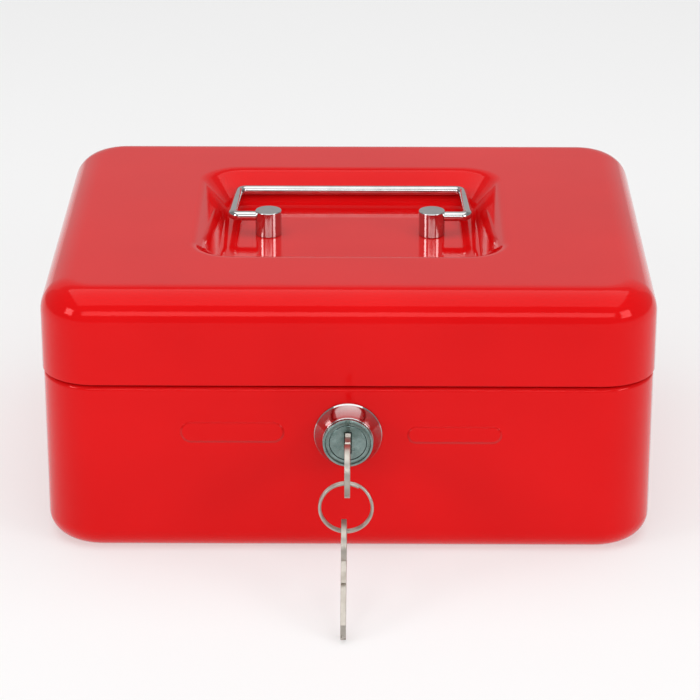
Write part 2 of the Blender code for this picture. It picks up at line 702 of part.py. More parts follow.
def make_plug():
    tail_end = CAM_FRONT - CAM_THICK + PLUG_CLEARANCE
    head = PLUG_HEAD_RADIUS
    points = [(0.0, PLUG_FACE), (head - PLUG_EDGE, PLUG_FACE)]
    points += [(head, PLUG_FACE - PLUG_EDGE), (head, PLUG_STEP)]
    points += [(PLUG_RADIUS, PLUG_STEP), (PLUG_RADIUS, PLUG_END), (0.0, PLUG_END)]
    plug = lock_piece("lock_plug", points, "zinc", False, PLUG_AXIS)
    low = (-TAIL_HALF, -PLUG_END - SHEET, LOCK_Z - TAIL_HALF)
    high = (TAIL_HALF, -tail_end, LOCK_Z + TAIL_HALF)
    join(plug, add_helper("plug_tail", box_mesh("tail", low, high)))
    low = (-KEYWAY_HALF, -HEAD_FACE, LOCK_Z - KEYWAY_HALF_HEIGHT)
    high = (KEYWAY_HALF, -KEYWAY_END, LOCK_Z + KEYWAY_HALF_HEIGHT)
    cut(plug, add_helper("keyway", box_mesh("keyway", low, high)))
    start = (0, -CAM_SCREW_TIP - FIT, LOCK_Z)
    screw_hole = rod_mesh("screw_hole", start, (0, -tail_end + SHEET, LOCK_Z), CAM_SCREW_RADIUS + FIT, 16)
    cut(plug, add_helper("plug_screw_hole", screw_hole))
    slot = WAFER_THICK / 2 + PLUG_CLEARANCE
    for number in range(WAFER_COUNT):
        y = -(WAFER_FIRST - WAFER_PITCH * number)
        low = (-WAFER_HALF_X - FIT, y - slot, LOCK_Z - PLUG_HEAD_RADIUS)
        high = (WAFER_HALF_X + FIT, y + slot, LOCK_Z + PLUG_HEAD_RADIUS)
        cut(plug, add_helper(f"wafer_slot_{number + 1}", box_mesh("wafer_slot", low, high)))
        make_wafer(number, y)
    smooth(plug)


def rectangle(half_x, half_y):
    return [(-half_x, -half_y), (half_x, -half_y), (half_x, half_y), (-half_x, half_y)]


def make_wafer(number, y):
    """A flat frame that rides the key's blade and slides in a slot of the plug."""
    window = rectangle(KEYWAY_HALF + PLUG_CLEARANCE, KEYWAY_HALF_HEIGHT + PLUG_CLEARANCE / 2)
    curve = flat_outline("wafer", rectangle(WAFER_HALF_X, WAFER_HALF_Z), [window], WAFER_THICK / 2)
    add_piece(f"wafer_{number + 1}", curve, "brass", PLUG_AXIS, (0, y, LOCK_Z), (math.pi / 2, 0, 0))


def make_cam():
    """The cam's arm passes beside the keeper, and its hooked finger enters the keeper's window."""
    hub = arc((0, 0), CAM_HUB_RADIUS, math.radians(-90), math.radians(168), 20)
    finger = [(-0.0082, -0.0012), (-0.0130, -0.0012), (-0.0130, 0.0040), (-0.0136, 0.0050)]
    hook = [(-0.0160, 0.0040), (-0.0164, -0.0012), (-0.0150, -0.0070), (-0.0120, -0.0078)]
    half = TAIL_HALF + PLUG_CLEARANCE
    curve = flat_outline("lock_cam", [*hub, *finger, *hook], [rectangle(half, half)], CAM_THICK / 2)
    place = (0, -CAM_FRONT + CAM_THICK / 2, LOCK_Z)
    add_piece("lock_cam", curve, "steel", PLUG_AXIS, place, (math.pi / 2, 0, 0))
    seat = CAM_FRONT - CAM_THICK - FIT
    end = seat - CAM_SCREW_HEAD
    head = CAM_SCREW_HEAD_RADIUS
    points = [(0.0, CAM_SCREW_TIP), (CAM_SCREW_RADIUS, CAM_SCREW_TIP), (CAM_SCREW_RADIUS, seat), (head, seat)]
    points += [(head, seat - CAM_SCREW_HEAD / 2), (head - CAM_SCREW_HEAD * 0.6, end), (0.0, end)]
    screw = lock_piece("cam_screw", points, "steel", False, PLUG_AXIS, 24)
    low = (-2 * head, -end - CAM_SCREW_HEAD / 2 + FIT, LOCK_Z - SCREW_SLOT_HALF)
    high = (2 * head, -end + CAM_SCREW_HEAD, LOCK_Z + SCREW_SLOT_HALF)
    cut(screw, add_helper("cam_screw_slot", box_mesh("slot", low, high)))
    smooth(screw)


def key_outline():
    """The key with its bow at the origin: a shouldered neck and a blade with its cuts along +X."""
    waist = NECK_HALF - NECK_INSET
    meet = math.asin(waist / BOW_RADIUS)
    bow = arc((0, 0), BOW_RADIUS, meet, 2 * math.pi - meet, 40)
    neck_end = BOW_RADIUS + NECK_LENGTH
    shoulder = neck_end - NECK_HALF + NECK_INSET
    tip = neck_end + BLADE_LENGTH
    lower = [(shoulder - NECK_INSET, -waist), (shoulder, -NECK_HALF), (neck_end, -NECK_HALF)]
    lower += [(neck_end, -BLADE_HALF), (tip - 0.0025, -BLADE_HALF), (tip, -0.0010)]
    upper = [(tip, 0.0012), (tip - 0.0022, BLADE_HALF)]
    for number, depth in enumerate(KEY_CUTS):
        middle = tip - KEY_FIRST_CUT - KEY_CUT_PITCH * number
        upper += [(middle + 0.0007, BLADE_HALF - depth), (middle - 0.0007, BLADE_HALF - depth)]
        upper.append((middle - 0.0014, BLADE_HALF - 0.0001))
    upper += [(neck_end, BLADE_HALF), (neck_end, NECK_HALF)]
    upper += [(shoulder, NECK_HALF), (shoulder - NECK_INSET, waist)]
    return bow + lower + upper


def make_key(name, axis, bow_centre, lean):
    """A key in the YZ plane whose blade points along +Y turned by lean about X."""
    hole = arc((-KEY_HOLE_OFFSET, 0), KEY_HOLE_RADIUS, 0, 2 * math.pi * 23 / 24, 23)
    curve = flat_outline(name, key_outline(), [hole], KEY_THICK / 2)
    upright = Matrix.Rotation(lean, 3, "X") @ Matrix(((0, 0, 1), (1, 0, 0), (0, 1, 0)))
    add_piece(name, curve, "chrome", axis, bow_centre, upright.to_euler())


def split_ring_points():
    """Two flat turns of wire side by side, which cross once. Each end stops short of the crossing."""
    start = 0.085
    steps = 60
    crossing = 0.14
    points = []
    for i in range(steps + 1):
        turns = start + (2 - 2 * start) * i / steps
        angle = 2 * math.pi * turns + math.pi / 6
        share = min(max((turns - 1) / crossing + 0.5, 0.0), 1.0)
        side = RING_HALF_PITCH * (2 * share * share * (3 - 2 * share) - 1)
        points.append((RING_RADIUS * math.cos(angle), side, RING_RADIUS * math.sin(angle)))
    return points


def make_keys():
    make_key("key", KEY_AXIS, (0, -BOW_FRONT, LOCK_Z), 0.0)
    ring_curve = wire_curve("key_ring", split_ring_points(), RING_WIRE, 1)
    add_piece("key_ring", ring_curve, "chrome", RING_AXIS, (RING_X, HOLE_Y, RING_BOTTOM_Z + RING_RADIUS))
    along = Vector((0, -math.cos(SPARE_LEAN), -math.sin(SPARE_LEAN)))
    bow = world_place(SPARE_AXIS) + along * (SPARE_SLACK + KEY_HOLE_OFFSET)
    make_key("spare_key", SPARE_AXIS, bow, math.pi + SPARE_LEAN)


def tray_cups():
    """Low and high corners of each cup: a row of coin cups in front and wider ones behind."""
    split = TRAY_FRONT_Y + TRAY_WALL + COIN_CUP_DEPTH
    rows = [
        (COIN_CUPS, TRAY_FRONT_Y + TRAY_WALL, split),
        (BACK_CUP_COUNT, split + TRAY_WALL, TRAY_REAR_Y - TRAY_WALL),
    ]
    cups = []
    for count, front, rear in rows:
        pitch = (2 * TRAY_HALF_X - TRAY_WALL) / count
        for number in range(count):
            left = -TRAY_HALF_X + TRAY_WALL + pitch * number
            low = (left, front, TRAY_FLOOR_Z + TRAY_WALL)
            cups.append((low, (left + pitch - TRAY_WALL, rear, TRAY_RIM_Z + 2 * TRAY_RIM)))
    return cups


def make_tray():
    """A moulded tray whose side rims rest on the base's lip."""
    middle = (TRAY_FRONT_Y + TRAY_REAR_Y) / 2
    half_y = (TRAY_REAR_Y - TRAY_FRONT_Y) / 2
    out = TRAY_RIM / 2
    rim = (TRAY_HALF_X + TRAY_RIM_OUT, half_y + out, TRAY_CORNER + out)
    foot = (TRAY_HALF_X - TRAY_FOOT, half_y - TRAY_FOOT, TRAY_CORNER - TRAY_FOOT)
    wall = (TRAY_HALF_X, half_y, TRAY_CORNER)
    sections = [
        (foot, TRAY_FLOOR_Z),
        (wall, TRAY_FLOOR_Z + TRAY_FOOT),
        (wall, TRAY_RIM_Z),
        (rim, TRAY_RIM_Z),
        (rim, TRAY_RIM_Z + TRAY_RIM),
    ]
    rings = [ring(*section, z, middle) for section, z in sections]
    tray = add_piece("coin_tray", loft_mesh("coin_tray", rings, True, True), "tray_plastic", TRAY_AXIS)
    for number, (low, high) in enumerate(tray_cups()):
        cut(tray, add_helper(f"cup_{number + 1}", cap_mesh("cup", low, high, CUP_CORNER, CUP_FOOT)))
    smooth(tray)


clear_scene()
PARTS = new_collection("cash_box")
CUTTERS = new_collection("cutters", hidden=True)
MATERIALS = make_materials()
LID_AXIS = new_axis("lid_axis", (0, HINGE_Y, HINGE_Z))
BAIL_AXIS = new_axis("bail_axis", (0, BAIL_Y, BAIL_Z), LID_AXIS)
PLUG_AXIS = new_axis("plug_axis", (0, -HEAD_FACE, LOCK_Z))
KEY_AXIS = new_axis("key_axis", (0, -BOW_FRONT, LOCK_Z), PLUG_AXIS)
HOLE_Y = -BOW_FRONT - KEY_HOLE_OFFSET
RING_BOTTOM_Z = LOCK_Z - RING_DROP - 2 * RING_RADIUS
RING_AXIS = new_axis("ring_axis", (0, HOLE_Y, LOCK_Z - RING_TURN_DROP), KEY_AXIS)
SPARE_AXIS = new_axis("spare_key_axis", (SPARE_X, HOLE_Y, RING_BOTTOM_Z), RING_AXIS)
TRAY_AXIS = new_axis("tray_axis", (0, 0, TRAY_RIM_Z))

make_base()
make_lid()
make_hinges()
make_posts()
make_bail()
make_keeper()
make_lock_case()
make_plug()
make_cam()
make_keys()
make_tray()
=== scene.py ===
"""The looks of the steel cash box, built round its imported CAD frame."""

import math

import bmesh
import bpy
from mathutils import Matrix, Vector


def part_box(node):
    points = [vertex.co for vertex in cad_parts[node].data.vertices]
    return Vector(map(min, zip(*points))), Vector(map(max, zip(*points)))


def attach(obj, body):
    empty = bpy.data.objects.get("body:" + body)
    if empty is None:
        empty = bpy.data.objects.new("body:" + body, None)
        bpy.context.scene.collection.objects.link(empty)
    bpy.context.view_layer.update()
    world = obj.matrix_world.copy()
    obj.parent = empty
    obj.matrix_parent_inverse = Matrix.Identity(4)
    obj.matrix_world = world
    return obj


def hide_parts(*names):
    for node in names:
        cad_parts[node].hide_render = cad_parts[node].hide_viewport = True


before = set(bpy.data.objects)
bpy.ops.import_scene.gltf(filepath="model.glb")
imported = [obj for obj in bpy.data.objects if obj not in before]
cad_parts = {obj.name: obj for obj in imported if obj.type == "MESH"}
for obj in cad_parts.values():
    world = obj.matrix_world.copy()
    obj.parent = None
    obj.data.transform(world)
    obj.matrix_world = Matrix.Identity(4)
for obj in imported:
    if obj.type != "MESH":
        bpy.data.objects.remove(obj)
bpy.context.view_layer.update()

# Sheet metal
SHEET = 0.0010
HEM = 0.00022
FIT = 0.0003
CORNER_STEPS = 16
ARC_STEPS = 12
LID_CORNER = 0.0184
LID_TOP_RADIUS = 0.011
BASE_CORNER = 0.019
FOOT_RADIUS = 0.0075
SHOULDER_RADIUS = 0.0015
SHOULDER_Z = 0.0584
LIP_INSET = 0.0020
REAR_WALL_TOP_Z = 0.0571
REAR_WALL_CUT_Y = 0.0755
REAR_LIP_CUT_Y = 0.066
RECESS_CENTRE_Y = 0.0015
RECESS_TOP = (0.0535, 0.0465, 0.015)
RECESS_FLOOR = (0.0415, 0.0290, 0.006)
RECESS_FLOOR_Z = 0.0812
RECESS_WALL_ANGLE = math.radians(48)
RECESS_LIP_RADIUS = 0.003
RECESS_FOOT_RADIUS = 0.003

# Handle
BAIL_Y = 0.002
BAIL_Z = 0.0878
WIRE_RADIUS = 0.00165
BAIL_BEND = 0.003
BAIL_GRIP = (0.0395, 0.0355, 0.08545)
POST_SCREW_HOLE = 0.0023

# Hinges
HINGE_Y = 0.0762
HINGE_Z = 0.0620
HINGE_X = 0.060
HINGE_HALF = 0.015
KNUCKLE_RADIUS = 0.0025
KNUCKLE_SPLIT = 0.0065
PIN_RADIUS = 0.00125
LEAF_CLEAR = 0.0032
RIVET_SPACING = 0.009
RIVET_RADIUS = 0.0015
BASE_RIVET_Z = 0.0510
LID_RIVET_Z = 0.0722

# Lock and keys
LOCK_Z = 0.0422
BARREL_RADIUS = 0.0070
PLUG_RADIUS = 0.0050
PLUG_END = 0.0705
HEAD_STEP = 0.0830
KEY_THICK = 0.00175
BOW_RADIUS = 0.0085
KEY_HOLE_RADIUS = 0.0037
KEY_HOLE_OFFSET = 0.0032
NECK_LENGTH = 0.0076
NECK_HALF = 0.0045
BLADE_LENGTH = 0.0171
BLADE_HALF = 0.0035
RING_RADIUS = 0.0083
RING_WIRE = 0.0005
RING_HALF_PITCH = 0.00055
RING_X = -0.0004
SPARE_X = -0.0010
SPARE_LEAN = math.radians(32.7)
SPARE_SLACK = 0.0023

# Studio
WORLD_LIGHT = 0.28
BACK_POWER = 8.0
TOP_POWER = 13.0
LEFT_POWER = 3.2
RIGHT_POWER = 3.5
STRIP_POWER = 7.6
LIGHT_TARGET = Vector((0, 0, 0.05))
FLOOR_HALF = 3.0
CAMERA_PLACE = (0.0077, -0.9613, 0.4340)
CAMERA_TURN = (math.radians(67.66), 0.0, math.radians(0.46))
CAMERA_LENS = 153.3

# Mesh helpers

def arc(centre, radius, start, end, steps):
    turn = (end - start) / steps
    return [
        (centre[0] + radius * math.cos(start + turn * i), centre[1] + radius * math.sin(start + turn * i))
        for i in range(steps + 1)
    ]


def ring(half_x, half_y, corner, z, centre_y=0.0, steps=CORNER_STEPS):
    """A rounded rectangle at one height, counter-clockwise from above."""
    points = []
    for number, (side_x, side_y) in enumerate([(1, 1), (-1, 1), (-1, -1), (1, -1)]):
        centre = (side_x * (half_x - corner), centre_y + side_y * (half_y - corner))
        start = number * math.pi / 2
        points += [(x, y, z) for x, y in arc(centre, corner, start, start + math.pi / 2, steps)]
    return points


def loft(name, rings, close_first=False, close_last=False):
    bm = bmesh.new()
    loops = [[bm.verts.new(point) for point in points] for points in rings]
    for lower, upper in zip(loops, loops[1:]):
        for i in range(len(lower)):
            j = (i + 1) % len(lower)
            bm.faces.new((lower[i], lower[j], upper[j], upper[i]))
    if close_first:
        bm.faces.new(reversed(loops[0]))
    if close_last:
        bm.faces.new(loops[-1])
    mesh = bpy.data.meshes.new(name)
    bm.to_mesh(mesh)
    bm.free()
    return mesh


def box_mesh(name, low, high):
    bm = bmesh.new()
    size = Vector(high) - Vector(low)
    middle = (Vector(high) + Vector(low)) / 2
    bmesh.ops.create_cube(bm, size=1.0, matrix=Matrix.Translation(middle) @ Matrix.Diagonal((*size, 1.0)))
    mesh = bpy.data.meshes.new(name)
    bm.to_mesh(mesh)
    bm.free()
    return mesh


def rod_mesh(name, start, end, radius, segments=64):
    bm = bmesh.new()
    run = Vector(end) - Vector(start)
    turn = run.to_track_quat("Z", "Y").to_matrix().to_4x4()
    place = Matrix.Translation((Vector(start) + Vector(end)) / 2) @ turn
    bmesh.ops.create_cone(
        bm, cap_ends=True, segments=segments, radius1=radius, radius2=radius, depth=run.length, matrix=place
    )
    mesh = bpy.data.meshes.new(name)
    bm.to_mesh(mesh)
    bm.free()
    return mesh


def turned_mesh(name, points, place, closed=False, steps=96):
    """A profile of (radius, height) turned once round the Z of a placing matrix."""
    bm = bmesh.new()
    verts = [bm.verts.new((r, 0.0, z)) for r, z in points]
    edges = [bm.edges.new(pair) for pair in zip(verts, verts[1:])]
    if closed:
        edges.append(bm.edges.new((verts[-1], verts[0])))
    bmesh.ops.spin(
        bm, geom=verts + edges, cent=(0, 0, 0), axis=(0, 0, 1),
        angle=2 * math.pi, steps=steps, use_duplicate=False
    )
    bmesh.ops.remove_doubles(bm, verts=bm.verts, dist=0.000001)
    bmesh.ops.recalc_face_normals(bm, faces=bm.faces)
    bm.transform(place)
    mesh = bpy.data.meshes.new(name)
    bm.to_mesh(mesh)
    bm.free()
    return mesh


def add(name, data, *materials):
    """A visible object with its materials."""
    obj = bpy.data.objects.new(name, data)
    for material in materials:
        data.materials.append(material)
    bpy.context.scene.collection.objects.link(obj)
    return obj


def modify(obj, kind, **settings):
    modifier = obj.modifiers.new(kind.lower(), kind)
    for key, value in settings.items():
        setattr(modifier, key, value)
    return modifier


def combine(obj, mesh, operation="DIFFERENCE"):
    """Cuts a mesh from an object, or joins it, and bakes the result into the object's mesh."""
    helper = bpy.data.objects.new("helper", mesh)
    bpy.context.scene.collection.objects.link(helper)
    modify(obj, "BOOLEAN", operation=operation, object=helper)
    bake(obj)
    bpy.data.objects.remove(helper)
    return obj


def evaluated_mesh(obj):
    bpy.context.view_layer.update()
    graph = bpy.context.evaluated_depsgraph_get()
    return bpy.data.meshes.new_from_object(obj.evaluated_get(graph))


def bake(obj):
    """Applies an object's modifiers."""
    mesh = evaluated_mesh(obj)
    obj.modifiers.clear()
    obj.data = mesh
    return obj


def curve_to_mesh(curve):
    """The closed mesh of a curve, its double points merged."""
    obj = bpy.data.objects.new("helper", curve)
    bpy.context.scene.collection.objects.link(obj)
    mesh = evaluated_mesh(obj)
    bpy.data.objects.remove(obj)
    bm = bmesh.new()
    bm.from_mesh(mesh)
    bmesh.ops.remove_doubles(bm, verts=bm.verts, dist=0.000001)
    bm.to_mesh(mesh)
    bm.free()
    mesh.materials.clear()
    return mesh


def soften(obj, width, segments=3, degrees=35, smooth_degrees=None):
    """Rounds the sharp edges, then shades smooth across all but real corners."""
    modify(
        obj, "BEVEL", width=width, segments=segments, limit_method="ANGLE", angle_limit=math.radians(degrees),
        harden_normals=False, use_clamp_overlap=True
    )
    bake(obj)
    return smooth(obj, smooth_degrees or degrees)


def smooth(obj, degrees=35):
    """Smooth shading in which the large faces stay flat, split at real corners."""
    obj.data.shade_smooth()
    obj.data.set_sharp_from_angle(angle=math.radians(degrees))
    modify(obj, "WEIGHTED_NORMAL", keep_sharp=True, weight=100)
    return obj


def filleted(points, radius, steps):
    route = [Vector(points[0])]
    for before, corner, after in zip(points, points[1:], points[2:]):
        corner = Vector(corner)
        back = (Vector(before) - corner).normalized()
        ahead = (Vector(after) - corner).normalized()
        half = back.angle(ahead) / 2
        reach = radius / math.tan(half)
        centre = corner + (back + ahead).normalized() * radius / math.sin(half)
        first = (corner + back * reach - centre).normalized()
        last = (corner + ahead * reach - centre).normalized()
        route += [centre + first.slerp(last, i / steps) * radius for i in range(steps + 1)]
    route.append(Vector(points[-1]))
    return route


def wire(name, points, radius, material, resolution=10):
    curve = bpy.data.curves.new(name, "CURVE")
    curve.dimensions = "3D"
    curve.bevel_depth = radius
    curve.bevel_resolution = resolution
    curve.use_fill_caps = True
    spline = curve.splines.new("POLY")
    spline.points.add(len(points) - 1)
    for point, place in zip(spline.points, points):
        point.co = (*place, 1.0)
    return smooth(add(name, curve_to_mesh(curve), material), 50)


# Materials

def new_material(name, **inputs):
    material = bpy.data.materials.new(name)
    material.use_nodes = True
    shader = material.node_tree.nodes["Principled BSDF"]
    for key, value in inputs.items():
        shader.inputs[key.replace("_", " ")].default_value = value
    return material, Graph(material.node_tree, shader)


class Graph:
    """Adds nodes to a material and links them by socket name."""

    def __init__(self, tree, shader):
        self.tree = tree
        self.shader = shader
        self.place = self.node("ShaderNodeTexCoord").outputs["Object"]

    def node(self, kind, inputs=None, **settings):
        node = self.tree.nodes.new(kind)
        for key, value in settings.items():
            setattr(node, key, value)
        for key, value in (inputs or {}).items():
            if hasattr(value, "is_output"):
                self.tree.links.new(value, node.inputs[key])
            else:
                node.inputs[key].default_value = value
        return node

    def stretched(self, scale):
        return self.node("ShaderNodeMapping", {"Vector": self.place, "Scale": scale}).outputs["Vector"]

    def noise(self, scale, detail=3.0, roughness=0.5, vector=None):
        inputs = {"Vector": vector or self.place, "Scale": scale, "Detail": detail, "Roughness": roughness}
        return self.node("ShaderNodeTexNoise", inputs).outputs["Fac"]

    def remap(self, value, low, high, to_low, to_high):
        inputs = {"Value": value, "From Min": low, "From Max": high, "To Min": to_low, "To Max": to_high}
        return self.node("ShaderNodeMapRange", inputs).outputs["Result"]

    def blend(self, factor, first, second):
        inputs = {0: factor, 6: (*first, 1.0), 7: (*second, 1.0)}
        return self.node("ShaderNodeMix", inputs, data_type="RGBA").outputs[2]

    def math(self, operation, first, second):
        return self.node("ShaderNodeMath", {0: first, 1: second}, operation=operation).outputs[0]

    def bump(self, height, distance, strength=1.0, normal=None):
        inputs = {"Height": height, "Distance": distance, "Strength": strength}
        if normal:
            inputs["Normal"] = normal
        return self.node("ShaderNodeBump", inputs).outputs["Normal"]

    def link(self, output, socket):
        self.tree.links.new(output, self.shader.inputs[socket])


def scratches(graph, across, along, level):
    """Fine lines: noise stretched along one axis and cut to its peaks."""
    scale = tuple(along if i == across else level for i in range(3))
    lines = graph.noise(1.0, 2.0, 0.6, graph.stretched(scale))
    return graph.remap(lines, 0.62, 0.75, 0.0, 1.0)


def embossing(graph):
    """Two plain pressed bars on the front wall, one on each side of the lock: 1 on a bar, 0 off it."""
    parts = graph.node("ShaderNodeSeparateXYZ", {"Vector": graph.place}).outputs
    on_front = graph.math("LESS_THAN", parts["Y"], -0.0775)
    total = None
    for x, z, half, radius in ((-0.0375, 0.0428, 0.0165, 0.0033), (0.0345, 0.0420, 0.0150, 0.0027)):
        along = graph.math("ABSOLUTE", graph.math("SUBTRACT", parts["X"], x), 0.0)
        past = graph.math("MAXIMUM", graph.math("SUBTRACT", along, half - radius), 0.0)
        up = graph.math("SUBTRACT", parts["Z"], z)
        squares = graph.math("ADD", graph.math("MULTIPLY", past, past), graph.math("MULTIPLY", up, up))
        edge = graph.math("SUBTRACT", graph.math("SQRT", squares, 0.0), radius)
        inputs = {"Value": edge, "From Min": -0.0004, "From Max": 0.0005, "To Min": 1.0, "To Max": 0.0}
        bar = graph.node("ShaderNodeMapRange", inputs, interpolation_type="SMOOTHSTEP").outputs["Result"]
        total = graph.math("ADD", total, bar) if total else bar
    return graph.math("MULTIPLY", total, on_front)


def red_enamel(name, embossed=False):
    """Glossy stoved enamel: a faint orange peel, slow waves of the sheet, and thin rub marks."""
    material, graph = new_material(name, Specular_Tint=(1.0, 0.25, 0.25, 1.0), IOR=1.5)
    drift = graph.remap(graph.noise(18.0, 2.0), 0.3, 0.7, 0.0, 1.0)
    graph.link(graph.blend(drift, (0.66, 0.0035, 0.0045), (0.72, 0.0050, 0.0062)), "Base Color")
    smudge = graph.noise(34.0, 6.0, 0.62)
    graph.link(graph.remap(smudge, 0.35, 0.75, 0.05, 0.11), "Roughness")
    normal = graph.bump(graph.noise(22.0, 1.0), 0.00010)
    if embossed:
        normal = graph.bump(embossing(graph), 0.00060, 1.0, normal)
    graph.link(graph.bump(graph.noise(750.0, 2.0), 0.000005, 1.0, normal), "Normal")
    return material


def bright_metal(name, colour, worn, low, high, scale=90.0):
    """Plated metal whose gloss varies with handling, with fine drawn lines."""
    material, graph = new_material(name, Metallic=1.0)
    haze = graph.noise(scale, 5.0, 0.6)
    graph.link(graph.blend(graph.remap(haze, 0.42, 0.72, 0.0, 1.0), colour, worn), "Base Color")
    graph.link(graph.remap(haze, 0.35, 0.7, low, high), "Roughness")
    fine = graph.bump(graph.noise(1500.0, 3.0, 0.6), 0.0000025)
    marks = graph.bump(scratches(graph, 0, 60.0, 2600.0), 0.000002, 0.6, fine)
    graph.link(marks, "Normal")
    return material


def cast_zinc():
    """Plated die casting: cloudy, finely pitted, with a grey-green cast."""
    material, graph = new_material("zinc_lock", Metallic=1.0)
    cloud = graph.noise(260.0, 5.0, 0.62)
    tint = graph.blend(graph.remap(cloud, 0.35, 0.68, 0.0, 1.0), (0.27, 0.36, 0.345), (0.15, 0.22, 0.205))
    graph.link(tint, "Base Color")
    graph.link(graph.remap(cloud, 0.3, 0.7, 0.18, 0.34), "Roughness")
    pits = graph.bump(graph.noise(2200.0, 3.0, 0.7), 0.000006)
    graph.link(pits, "Normal")
    return material


def plated_steel():
    """Zinc-plated pressed steel with its mottled passivation."""
    material, graph = new_material("zinc_steel", Metallic=1.0)
    cells = graph.node("ShaderNodeTexVoronoi", {"Vector": graph.place, "Scale": 420.0}).outputs["Color"]
    shade = graph.noise(120.0, 4.0)
    tint = graph.blend(graph.remap(shade, 0.3, 0.7, 0.0, 1.0), (0.60, 0.61, 0.63), (0.42, 0.43, 0.45))
    graph.link(tint, "Base Color")
    graph.link(graph.remap(cells, 0.0, 1.0, 0.24, 0.42), "Roughness")
    graph.link(graph.bump(graph.noise(1800.0, 3.0), 0.000005), "Normal")
    return material


def stamped_brass():
    material, graph = new_material("wafer_brass", Metallic=1.0)
    shade = graph.noise(300.0, 4.0)
    tint = graph.blend(graph.remap(shade, 0.3, 0.7, 0.0, 1.0), (0.72, 0.54, 0.24), (0.52, 0.36, 0.14))
    graph.link(tint, "Base Color")
    graph.link(graph.remap(shade, 0.3, 0.7, 0.22, 0.4), "Roughness")
    graph.link(graph.bump(graph.noise(2500.0, 2.0), 0.000004), "Normal")
    return material


def moulded_plastic():
    """Black polystyrene with a spark-eroded grain and rubbed high spots."""
    material, graph = new_material("tray_plastic", IOR=1.5)
    rub = graph.noise(45.0, 5.0, 0.6)
    worn = graph.remap(rub, 0.35, 0.7, 0.0, 1.0)
    graph.link(graph.blend(worn, (0.016, 0.016, 0.018), (0.030, 0.030, 0.033)), "Base Color")
    graph.link(graph.remap(rub, 0.35, 0.7, 0.5, 0.34), "Roughness")
    graph.link(graph.bump(graph.noise(1700.0, 3.0, 0.7), 0.000022), "Normal")
    return material


def pale_floor():
    """White board: matt, with a faint grain, and glowing a little so that it reads as a lit sweep."""
    white = (1.0, 1.0, 1.0, 1.0)
    material, graph = new_material(
        "pale_floor", Roughness=0.9, Specular_IOR_Level=0.0, Emission_Color=white, Emission_Strength=0.46
    )
    graph.link(graph.blend(graph.noise(3.0, 2.0), (0.47, 0.47, 0.47), (0.49, 0.49, 0.49)), "Base Color")
    graph.link(graph.bump(graph.noise(900.0, 2.0), 0.00002), "Normal")
    return material


# Pieces

def register(piece, body, slot_name, *nodes):
    """Hands a piece to the frame: the body it rides and the nodes it stands for. The slot_name argument, its
    finish, is not used.
    """
    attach(piece, body)
    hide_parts(*nodes)
    return piece


def rivet_places(side, z):
    return [(side * HINGE_X + step, z) for step in (-RIVET_SPACING, RIVET_SPACING)]


def rivet_hole(x, near, far, z):
    return rod_mesh("hole", (x, near, z), (x, far, z), RIVET_RADIUS + FIT, 24)


def cut_rivet_holes(shell, z, wall_y):
    for side in (-1, 1):
        for x, height in rivet_places(side, z):
            combine(shell, rivet_hole(x, wall_y - 0.004, wall_y + 0.004, height))


def make_base(enamel):
    low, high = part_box("base_shell")
    half_x = (high.x - low.x) / 2
    half_y = (high.y - low.y) / 2
    insets = arc((FOOT_RADIUS, FOOT_RADIUS), FOOT_RADIUS, -math.pi / 2, -math.pi, ARC_STEPS)
    top = SHOULDER_Z - SHOULDER_RADIUS
    insets += [(0.0, FOOT_RADIUS + 0.004), (0.0, top - 0.004)]
    insets += arc((SHOULDER_RADIUS, top), SHOULDER_RADIUS, math.pi, math.pi / 2, 8)
    insets += [(LIP_INSET - 0.0001, SHOULDER_Z), (LIP_INSET, SHOULDER_Z + 0.0001), (LIP_INSET, high.z)]
    floor = [(FOOT_RADIUS + 0.030, 0.0), (FOOT_RADIUS + 0.002, 0.0)]
    rings = []
    for inset, z in floor + insets:
        corner = max(BASE_CORNER - inset, 0.003)
        rings.append(ring(half_x - inset, half_y - inset, corner, z))
    base = add("base_body", loft("base_body", rings, close_first=True), enamel)
    modify(base, "SOLIDIFY", thickness=SHEET, offset=-1.0, use_even_offset=True)
    bake(base)
    reach = high.y * 2
    combine(base, box_mesh("cut", (-reach, REAR_LIP_CUT_Y, SHOULDER_Z - 0.0001), (reach, reach, reach)))
    combine(base, box_mesh("cut", (-reach, REAR_WALL_CUT_Y, REAR_WALL_TOP_Z), (reach, reach, reach)))
    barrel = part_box("lock_housing")
    ends = [(0, y, LOCK_Z) for y in (barrel[0].y, low.y + 0.004)]
    combine(base, rod_mesh("cut", *ends, BARREL_RADIUS + FIT, 64))
    cut_rivet_holes(base, BASE_RIVET_Z, high.y)
    soften(base, HEM, 2, 60, 40)
    return register(base, "base", "red_enamel", "base_shell")


def recess_profile(top_z):
    """Fractions of the run and heights from the lip down to the recess floor."""
    depth = top_z - RECESS_FLOOR_Z
    angle = RECESS_WALL_ANGLE
    both = RECESS_LIP_RADIUS + RECESS_FOOT_RADIUS
    straight = (depth - both * (1 - math.cos(angle))) / math.sin(angle)
    run = both * math.sin(angle) + straight * math.cos(angle)
    points = []
    for i in range(ARC_STEPS + 1):
        turn = angle * i / ARC_STEPS
        points.append((RECESS_LIP_RADIUS * math.sin(turn), top_z - RECESS_LIP_RADIUS * (1 - math.cos(turn))))
    for i in range(ARC_STEPS + 1):
        turn = angle * (1 - i / ARC_STEPS)
        along = run - RECESS_FOOT_RADIUS * math.sin(turn)
        points.append((along, RECESS_FLOOR_Z + RECESS_FOOT_RADIUS * (1 - math.cos(turn))))
    return [(along / run, z) for along, z in points]


